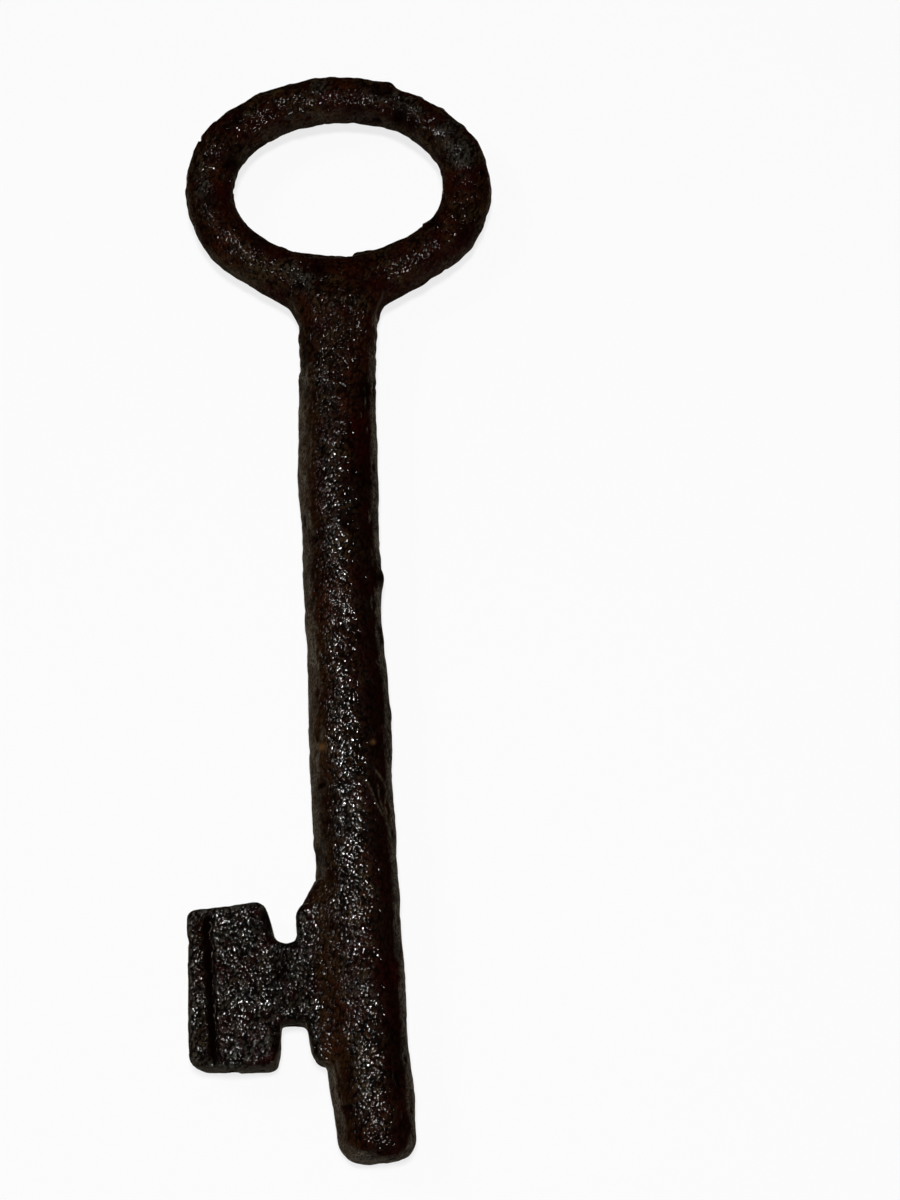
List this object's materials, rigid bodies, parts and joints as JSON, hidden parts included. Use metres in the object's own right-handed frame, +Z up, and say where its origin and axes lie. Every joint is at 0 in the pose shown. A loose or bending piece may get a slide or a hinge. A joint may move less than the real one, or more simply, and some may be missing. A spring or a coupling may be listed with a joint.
{
  "type": "key",
  "caption": "Old iron pin key with an oval bow, a round shank bent a little sideways, and a flat bit with ward cuts and a groove.",
  "frame": {"origin": "on the turning axis, at the shoulder where the pilot starts below the bit", "axes": "+Y along the turning axis from the pilot towards the bow, -X towards the bit, +Z up from the level faces of the bow and bit"},
  "size_m": [0.0414, 0.1301, 0.0094],
  "materials": {
    "bow_iron": "corroded and oiled, brown-black",
    "shank_iron": "corroded and oiled, brown-black",
    "bit_iron": "corroded and oiled, grey-brown",
    "spelter": "blackened and rusted over"
  },
  "bodies": {
    "root": {"bow": "bow_iron", "shank": "shank_iron", "bit": "bit_iron", "neck_braze": "spelter", "bit_braze": "spelter"}
  },
  "joints": []
}
